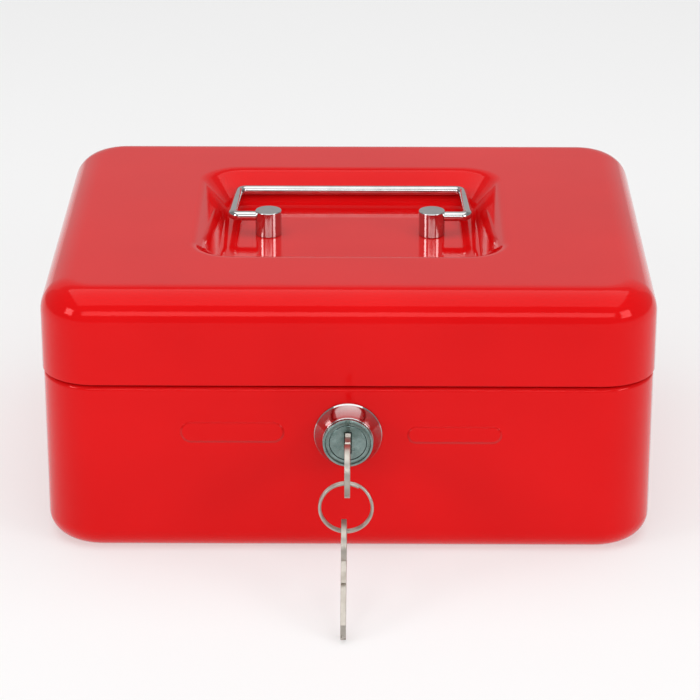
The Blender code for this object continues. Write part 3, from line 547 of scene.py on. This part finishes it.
def make_lid(enamel):
    low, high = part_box("lid_shell")
    centre = (LID_TOP_RADIUS, high.z - LID_TOP_RADIUS)
    insets = [(0.0, low.z), (0.0, low.z + 0.003), (0.0, centre[1] - 0.003)]
    insets += arc(centre, LID_TOP_RADIUS, math.pi, math.pi / 2, ARC_STEPS + 4)
    insets += [(LID_TOP_RADIUS + 0.002, high.z)]
    rings = []
    for inset, z in insets:
        rings.append(ring(high.x - inset, high.y - inset, max(LID_CORNER - inset, 0.0074), z))
    outer = [size + 0.002 for size in RECESS_TOP]
    rings.append(ring(*outer, high.z, RECESS_CENTRE_Y))
    for share, z in recess_profile(high.z):
        half_x, half_y, corner = (a + (b - a) * share for a, b in zip(RECESS_TOP, RECESS_FLOOR))
        rings.append(ring(half_x, half_y, corner, z, RECESS_CENTRE_Y))
    inner = [size - 0.002 for size in RECESS_FLOOR]
    rings.append(ring(*inner, RECESS_FLOOR_Z, RECESS_CENTRE_Y))
    lid = add("lid_body", loft("lid_body", rings, close_last=True), enamel)
    modify(lid, "SOLIDIFY", thickness=SHEET, offset=-1.0, use_even_offset=True)
    bake(lid)
    for side in (-1, 1):
        x = side * HINGE_X
        reach = HINGE_HALF + SHEET
        combine(lid, box_mesh("cut", (x - reach, high.y - 0.004, 0.05), (x + reach, high.y * 2, 0.0669)))
        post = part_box("handle_post_left")
        x = side * (post[0].x + post[1].x) / 2
        combine(lid, rod_mesh("cut", (x, BAIL_Y, 0.077), (x, BAIL_Y, 0.084), POST_SCREW_HOLE, 32))
    cut_rivet_holes(lid, LID_RIVET_Z, high.y)
    soften(lid, HEM, 2, 60, 40)
    return register(lid, "lid", "red_enamel", "lid_shell")


def make_posts(chrome):
    """Posts with a turned edge, the bail's hole in the outer side and a screw hole in the foot."""
    for word in ("left", "right"):
        low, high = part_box(f"handle_post_{word}")
        x = (low.x + high.x) / 2
        radius = (high.x - low.x) / 2
        side = math.copysign(1.0, x)
        edge = 0.00035
        floor = RECESS_FLOOR_Z + 0.00002
        points = [(0.0, high.z), (radius - edge - 0.0006, high.z)]
        points += arc((radius - edge, high.z - edge), edge, math.pi / 2, 0.0, 6)
        points += [(radius, floor + 0.0003), (radius - 0.0002, floor), (0.0, floor)]
        name = f"post_{word}"
        post = add(name, turned_mesh(name, points, Matrix.Translation((x, BAIL_Y, 0.0))), chrome)
        ends = [(x + side * depth, BAIL_Y, BAIL_Z) for depth in (0.0, 0.01)]
        combine(post, rod_mesh("cut", *ends, WIRE_RADIUS + 0.00012, 40))
        ends = [(x, BAIL_Y, z) for z in (floor - 0.002, floor + 0.0038)]
        combine(post, rod_mesh("cut", *ends, POST_SCREW_HOLE, 32))
        soften(post, 0.00008, 2, 50, 40)
        register(post, "lid", "chrome_plate", f"handle_post_{word}")


def make_bail(chrome):
    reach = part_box("bail_handle")[1].x - WIRE_RADIUS
    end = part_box("handle_post_right")[0].x + 0.0051
    corners = [(-end, BAIL_Y, BAIL_Z), (-reach, BAIL_Y, BAIL_Z), (-BAIL_GRIP[0], *BAIL_GRIP[1:])]
    route = corners + [(-x, y, z) for x, y, z in reversed(corners)]
    bail = wire("bail_wire", filleted(route, BAIL_BEND, 12), WIRE_RADIUS, chrome)
    register(bail, "bail", "chrome_plate", "bail_handle")


def to_front():
    """A placing matrix for pieces on the lock's axis: heights run towards the front from the box's middle."""
    return Matrix.Translation((0, 0, LOCK_Z)) @ Matrix.Rotation(math.pi / 2, 4, "X")


def make_escutcheon(chrome):
    """A collar like a shallow trumpet: a cone that widens a little faster towards its rim on the panel."""
    low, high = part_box("lock_escutcheon")
    back = -high.y
    front = -low.y
    rim = (high.x - low.x) / 2
    inner = 0.0073
    nose = 0.0083
    cone = front - back - 0.00075
    edge = 0.0003
    points = [(inner + 0.0002, front), (nose - edge, front)]
    points += arc((nose - edge, front - edge), edge, math.pi / 2, math.pi * 0.15, 5)
    for share in (i / 12 for i in range(1, 13)):
        points.append((nose + cone * share * (0.45 + 0.075 * share), front - 0.0004 - cone * share))
    points += [(rim, back + 0.0002), (rim, back + 0.00004), (inner, back + 0.00004)]
    points.append((inner, front - 0.0002))
    trim = add("lock_trim", turned_mesh("lock_trim", points, to_front(), closed=True, steps=128), chrome)
    smooth(trim, 40)
    register(trim, "base", "chrome_plate", "lock_escutcheon")


def make_housing(zinc):
    """The lock's head with a raised rim round a sunk face, and a threaded barrel behind."""
    low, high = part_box("lock_housing")
    front = -low.y
    back = -high.y
    head = (high.x - low.x) / 2
    bore = 0.00606
    groove = 0.0072
    under = front - 0.0013
    barrel = BARREL_RADIUS
    points = arc((head - 0.0004, front - 0.0004), 0.0004, math.pi / 2, 0.0, 6)
    points += [(head, under + 0.0001), (head - 0.0001, under), (barrel, under)]
    turns = 16
    pitch = (under - 0.0010 - back) / turns
    for i in range(turns):
        y = under - 0.0006 - pitch * i
        points += [(barrel, y), (barrel, y - pitch * 0.25), (barrel - 0.0003, y - pitch * 0.5)]
        points.append((barrel - 0.0003, y - pitch * 0.75))
    points += [(barrel - 0.0001, back), (PLUG_RADIUS + FIT, back), (PLUG_RADIUS + FIT, HEAD_STEP)]
    points += [(bore, HEAD_STEP), (bore, front - 0.0007)]
    points += [(bore + 0.00006, front - 0.0006), (groove - 0.0002, front - 0.0006), (groove, front - 0.0005)]
    points += [(groove + 0.0001, front - 0.0001), (groove + 0.0002, front)]
    housing = add("lock_case", turned_mesh("lock_case", points, to_front(), closed=True, steps=128), zinc)
    mark = LOCK_Z + head - 0.0002
    combine(housing, rod_mesh("cut", (0, low.y - 0.001, mark), (0, low.y + 0.0005, mark), 0.0008, 24))
    soften(housing, 0.00006, 2, 50, 40)
    register(housing, "base", "zinc_lock", "lock_housing")


def make_plug(zinc):
    low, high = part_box("lock_plug")
    front = -low.y
    radius = (high.x - low.x) / 2
    points = [(0.0, front), (radius - 0.00025, front), (radius - 0.00012, front - 0.00005)]
    points += [(radius, front - 0.00025), (radius, HEAD_STEP + FIT), (PLUG_RADIUS, HEAD_STEP + FIT)]
    points += [(PLUG_RADIUS, PLUG_END), (0.0, PLUG_END)]
    plug = add("lock_core", turned_mesh("lock_core", points, to_front(), steps=96), zinc)
    tail = 0.0025
    tail_low = (-tail, -PLUG_END - 0.001, LOCK_Z - tail)
    combine(plug, box_mesh("tail", tail_low, (tail, high.y, LOCK_Z + tail)), "UNION")
    half, reach = 0.00118, 0.0038
    combine(plug, box_mesh("keyway", (-half, -0.09, LOCK_Z - reach), (half, -0.0744, LOCK_Z + reach)))
    combine(plug, rod_mesh("cut", (0, -0.0731, LOCK_Z), (0, -0.06, LOCK_Z), 0.0016, 32))
    for number in range(4):
        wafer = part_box(f"wafer_{number + 1}")
        slot_low = (-0.0031, wafer[0].y - 0.0002, LOCK_Z - 0.006)
        slot_high = (0.0031, wafer[1].y + 0.0002, LOCK_Z + 0.006)
        combine(plug, box_mesh("cut", slot_low, slot_high))
    soften(plug, 0.00010, 2, 50, 40)
    register(plug, "plug", "zinc_lock", "lock_plug")


def key_outline():
    """The key with its bow at the origin and its blade along +X."""
    meet = math.asin(NECK_HALF * 0.8 / BOW_RADIUS)
    points = arc((0, 0), BOW_RADIUS, meet, 2 * math.pi - meet, 80)
    neck_end = BOW_RADIUS + NECK_LENGTH
    tip = neck_end + BLADE_LENGTH
    points += [(neck_end - 0.0045, -NECK_HALF * 0.8), (neck_end - 0.0040, -NECK_HALF), (neck_end, -NECK_HALF)]
    points += [(neck_end, -BLADE_HALF), (tip - 0.0025, -BLADE_HALF), (tip, -0.0010)]
    points += [(tip, 0.0012), (tip - 0.0022, BLADE_HALF)]
    for number, depth in enumerate((0.0012, 0.0019, 0.0008, 0.0015)):
        middle = tip - 0.0042 - 0.0030 * number
        points += [(middle + 0.0007, BLADE_HALF - depth), (middle - 0.0007, BLADE_HALF - depth)]
        points.append((middle - 0.0014, BLADE_HALF - 0.0001))
    points += [(neck_end, BLADE_HALF), (neck_end, NECK_HALF)]
    points += [(neck_end - 0.0040, NECK_HALF), (neck_end - 0.0045, NECK_HALF * 0.8)]
    return points


def key_blank(name):
    """A flat outline with softened edges and a ring hole."""
    edge = 0.00012
    curve = bpy.data.curves.new(name, "CURVE")
    curve.dimensions = "2D"
    curve.fill_mode = "BOTH"
    curve.bevel_depth = edge
    curve.bevel_resolution = 2
    curve.offset = -edge
    curve.extrude = KEY_THICK / 2 - edge
    hole = arc((-KEY_HOLE_OFFSET, 0), KEY_HOLE_RADIUS, 0, 2 * math.pi * 59 / 60, 59)
    for points in (key_outline(), hole):
        spline = curve.splines.new("POLY")
        spline.points.add(len(points) - 1)
        for point, (x, y) in zip(spline.points, points):
            point.co = (x, y, 0.0, 1.0)
        spline.use_cyclic_u = True
    return curve_to_mesh(curve)


def make_key(name, node, body, place, nickel):
    """A key with a pressed bow and a milled groove along each side of its blade."""
    key = add(name, key_blank(name), nickel)
    start = BOW_RADIUS + 0.0030
    tip = BOW_RADIUS + NECK_LENGTH + BLADE_LENGTH
    for side in (-1, 1):
        face = side * KEY_THICK / 2
        depth = sorted((face - side * 0.00045, face + side * 0.001))
        low, high = sorted((side * 0.0001, side * 0.0013))
        combine(key, box_mesh("cut", (start, low, depth[0]), (tip + 0.001, high, depth[1])))
        sunk = sorted((face - side * 0.00022, face + side * 0.001))
        panel = turned_mesh(
            "cut", [(BOW_RADIUS - 0.0013, sunk[1]), (BOW_RADIUS - 0.0013, sunk[0]),
                    (BOW_RADIUS - 0.0040, sunk[0]), (BOW_RADIUS - 0.0040, sunk[1])],
            Matrix.Identity(4), closed=True, steps=96
        )
        combine(key, panel)
    key.data.transform(place)
    smooth(key, 35)
    register(key, body, "key_nickel", node)


def upright(centre, lean):
    """Turns a key's outline into the YZ plane, blade along +Y leaned about X, and puts its bow in place."""
    axes = Matrix(((0, 0, 1), (1, 0, 0), (0, 1, 0))).to_4x4()
    return Matrix.Translation(centre) @ Matrix.Rotation(lean, 4, "X") @ axes


def ring_points(centre, steps=220):
    """Two flat turns with one crossing, the ends stopping short of it."""
    start = 0.085
    points = []
    for i in range(steps + 1):
        turns = start + (2 - 2 * start) * i / steps
        angle = 2 * math.pi * turns + math.pi / 6
        share = min(max((turns - 0.93) / 0.14, 0.0), 1.0)
        side = RING_HALF_PITCH * (2 * share * share * (3 - 2 * share) - 1)
        offset = Vector((RING_RADIUS * math.cos(angle), side, RING_RADIUS * math.sin(angle)))
        points.append(centre + offset)
    return points


def make_keys(nickel):
    bow = Vector((0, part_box("key")[0].y + BOW_RADIUS, LOCK_Z))
    make_key("lock_key", "key", "key", upright(bow, 0.0), nickel)
    ring_low, ring_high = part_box("key_ring")
    centre = (ring_low + ring_high) / 2
    centre.z = ring_low.z + RING_WIRE + RING_RADIUS
    centre.x = RING_X
    loop = wire("split_ring", ring_points(centre), RING_WIRE, nickel, 6)
    register(loop, "ring", "key_nickel", "key_ring")
    along = Vector((0, -math.cos(SPARE_LEAN), -math.sin(SPARE_LEAN)))
    pivot = Vector((SPARE_X, centre.y, centre.z - RING_RADIUS))
    bow = pivot + along * (SPARE_SLACK + KEY_HOLE_OFFSET)
    make_key("second_key", "spare_key", "spare", upright(bow, math.pi + SPARE_LEAN), nickel)


def make_rivets(steel):
    """Snap-headed rivets through the rear walls."""
    for node in list(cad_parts):
        if "rivet" not in node:
            continue
        low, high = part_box(node)
        x = (low.x + high.x) / 2
        z = (low.z + high.z) / 2
        head = (high.x - low.x) / 2
        inner = low.y + 0.0007
        seat = 0.0800 if node.startswith("lid") else 0.0797
        crown = high.y - seat - 0.00005
        points = [(0.0, high.y - 0.00002)]
        for i in range(1, 11):
            turn = math.pi / 2 * i / 10
            points.append((head * math.sin(turn) * 0.99, seat + 0.00005 + crown * math.cos(turn)))
        points += [(RIVET_RADIUS, seat + 0.00003), (RIVET_RADIUS, inner), (0.0022, inner)]
        points += [(0.0023, inner - 0.0003), (0.0019, low.y), (0.0, low.y)]
        place = Matrix.Translation((x, 0, z)) @ Matrix.Rotation(-math.pi / 2, 4, "X")
        name = f"snap_{node}"
        rivet = smooth(add(name, turned_mesh(name, points, place, steps=40), steel), 45)
        register(rivet, "lid" if node.startswith("lid") else "base", "zinc_steel", node)


def make_leaf(name, node, body, tabs, up, steel):
    """A pressed leaf: plate, tabs and rolled knuckles, with its edges softened."""
    low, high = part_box(node)
    x = (low.x + high.x) / 2
    plate_end = high.z if up else low.z
    start = HINGE_Z + (LEAF_CLEAR if up else -LEAF_CLEAR)
    y = 0.0777 if up else 0.0774
    z_low, z_high = sorted((plate_end, start))
    leaf = add(name, box_mesh(name, (low.x, y, z_low), (high.x, y + SHEET, z_high)), steel)
    for first, last in tabs:
        tab_low, tab_high = sorted((start + (0.001 if up else -0.001), HINGE_Z))
        combine(leaf, box_mesh("tab", (x + first, y, tab_low), (x + last, y + SHEET, tab_high)), "UNION")
        ends = [(x + step, HINGE_Y, HINGE_Z) for step in (first, last)]
        combine(leaf, rod_mesh("barrel", *ends, KNUCKLE_RADIUS, 48), "UNION")
    ends = [(x + step, HINGE_Y, HINGE_Z) for step in (-HINGE_HALF * 1.1, HINGE_HALF * 1.1)]
    combine(leaf, rod_mesh("bore", *ends, PIN_RADIUS + 0.0001, 40))
    rivet_z = LID_RIVET_Z if up else BASE_RIVET_Z
    for step in (-RIVET_SPACING, RIVET_SPACING):
        combine(leaf, rivet_hole(x + step, y - 0.001, y + 0.002, rivet_z))
    soften(leaf, 0.00012, 2, 45, 40)
    register(leaf, body, "zinc_steel", node)


def make_hinges(steel):
    gap = 0.00015
    outer = [(-HINGE_HALF, -KNUCKLE_SPLIT - gap), (KNUCKLE_SPLIT + gap, HINGE_HALF)]
    inner = [(-KNUCKLE_SPLIT + gap, KNUCKLE_SPLIT - gap)]
    for word in ("left", "right"):
        make_leaf(f"base_leaf_{word}", f"hinge_base_leaf_{word}", "base", outer, False, steel)
        make_leaf(f"lid_leaf_{word}", f"hinge_lid_leaf_{word}", "lid", inner, True, steel)
        low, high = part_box(f"hinge_pin_{word}")
        points = [(0.0, high.x)]
        points += [(PIN_RADIUS * math.sin(t), high.x - 0.0004 * (1 - math.cos(t))) for t in (0.5, 1.0, 1.57)]
        points += [(PIN_RADIUS, low.x + 0.0003), (PIN_RADIUS * 0.8, low.x), (0.0, low.x)]
        place = Matrix.Translation((0, HINGE_Y, HINGE_Z)) @ Matrix.Rotation(math.pi / 2, 4, "Y")
        name = f"pin_{word}"
        pin = smooth(add(name, turned_mesh(name, points, place, steps=40), steel), 40)
        register(pin, "base", "zinc_steel", f"hinge_pin_{word}")


def pocket_mesh(low, high, corner, foot, steps=8):
    half_x = (high[0] - low[0]) / 2
    half_y = (high[1] - low[1]) / 2
    rings = []
    for inset, z in arc((foot, low[2] + foot), foot, -math.pi / 2, -math.pi, steps):
        rings.append(ring(half_x - inset, half_y - inset, max(corner - inset, 0.001), z, 0.0, steps))
    rings.append(ring(half_x, half_y, corner, high[2], 0.0, steps))
    mesh = loft("pocket", rings, close_first=True, close_last=True)
    mesh.transform(Matrix.Translation(((high[0] + low[0]) / 2, (high[1] + low[1]) / 2, 0.0)))
    return mesh


def make_tray(plastic):
    low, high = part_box("coin_tray")
    half_x = 0.0945
    front, rear = -0.0570, 0.0640
    wall = 0.0020
    middle = (front + rear) / 2
    half_y = (rear - front) / 2
    rim_z = high.z - 0.0016
    rings = [ring(half_x - 0.005, half_y - 0.005, 0.008, low.z, middle)]
    for inset, z in arc((0.003, low.z + 0.003), 0.003, -math.pi / 2, -math.pi, 6):
        rings.append(ring(half_x - inset, half_y - inset, 0.012 - inset, z, middle))
    rings.append(ring(half_x, half_y, 0.012, rim_z, middle))
    rings += [ring(high.x, half_y + 0.0015, 0.0135, z, middle) for z in (rim_z, high.z)]
    tray = add("tray_moulding", loft("tray_moulding", rings, True, True), plastic)
    split = front + wall + 0.045
    for count, near, far in ((5, front + wall, split), (3, split + wall, rear - wall)):
        pitch = (2 * half_x - wall) / count
        for number in range(count):
            left = -half_x + wall + pitch * number
            floor = low.z + wall
            corner = (left + pitch - wall, far, high.z + 0.005)
            combine(tray, pocket_mesh((left, near, floor), corner, 0.007, 0.006))
    soften(tray, 0.00045, 3, 50, 40)
    register(tray, "tray", "tray_plastic", "coin_tray")


def dress_cad_nodes(steel, brass):
    """The small inner pieces keep their CAD shape, with welded, softened edges and a real finish."""
    for name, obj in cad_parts.items():
        if obj.hide_render:
            continue
        material = brass if name.startswith("wafer") else steel
        obj.data.materials.clear()
        obj.data.materials.append(material)
        modify(obj, "WELD", merge_threshold=0.00001)
        modify(obj, "BEVEL", width=0.00010, segments=2, limit_method="ANGLE", angle_limit=math.radians(35))


# Lights and camera

def area_light(name, place, size, power):
    data = bpy.data.lights.new(name, "AREA")
    data.shape = "RECTANGLE"
    data.size, data.size_y = size
    data.energy = power
    light = bpy.data.objects.new(name, data)
    light.location = place
    light.rotation_euler = (LIGHT_TARGET - Vector(place)).to_track_quat("-Z", "Y").to_euler()
    bpy.context.scene.collection.objects.link(light)


def around(azimuth, distance, height):
    """A place round the box: azimuth in degrees from the front, positive to the right."""
    turn = math.radians(azimuth)
    return (distance * math.sin(turn), -distance * math.cos(turn), height)


def make_studio():
    sheet = loft("studio_floor", [ring(FLOOR_HALF, FLOOR_HALF, 0.5, -0.00005)], close_last=True)
    floor = add("studio_floor", sheet, pale_floor())
    world = bpy.data.worlds.new("studio")
    world.use_nodes = True
    background = world.node_tree.nodes["Background"]
    background.inputs["Color"].default_value = (1.0, 1.0, 1.0, 1.0)
    background.inputs["Strength"].default_value = WORLD_LIGHT
    bpy.context.scene.world = world
    area_light("back_card", (0.0, 2.6, 1.0), (5.0, 2.4), BACK_POWER)
    area_light("top_box", (0.0, -0.05, 1.30), (1.8, 1.6), TOP_POWER)
    area_light("left_box", around(-57, 1.25, 0.52), (0.34, 0.38), LEFT_POWER)
    area_light("right_box", around(52, 1.25, 0.52), (0.45, 0.45), RIGHT_POWER)
    area_light("front_strip", (0.0, -1.60, 0.90), (1.8, 0.42), STRIP_POWER)
    bpy.context.scene.view_settings.view_transform = "Standard"


def make_camera():
    data = bpy.data.cameras.new("camera")
    data.sensor_width = 36.0
    data.lens = CAMERA_LENS
    data.clip_start = 0.05
    camera = bpy.data.objects.new("camera", data)
    camera.location = CAMERA_PLACE
    camera.rotation_euler = CAMERA_TURN
    bpy.context.scene.collection.objects.link(camera)
    bpy.context.scene.camera = camera


make_camera()
make_studio()
LID_ENAMEL = red_enamel("lid_enamel")
BASE_ENAMEL = red_enamel("base_enamel", embossed=True)
CHROME = bright_metal("chrome_plate", (0.60, 0.60, 0.60), (0.50, 0.50, 0.49), 0.06, 0.14)
NICKEL = bright_metal("key_nickel", (0.50, 0.465, 0.42), (0.38, 0.345, 0.30), 0.34, 0.48, 160.0)
ZINC = cast_zinc()
STEEL = plated_steel()
BRASS = stamped_brass()
PLASTIC = moulded_plastic()
make_base(BASE_ENAMEL)
make_lid(LID_ENAMEL)
make_posts(CHROME)
make_bail(CHROME)
make_escutcheon(CHROME)
make_housing(ZINC)
make_plug(ZINC)
make_keys(NICKEL)
make_rivets(STEEL)
make_hinges(STEEL)
make_tray(PLASTIC)
dress_cad_nodes(STEEL, BRASS)
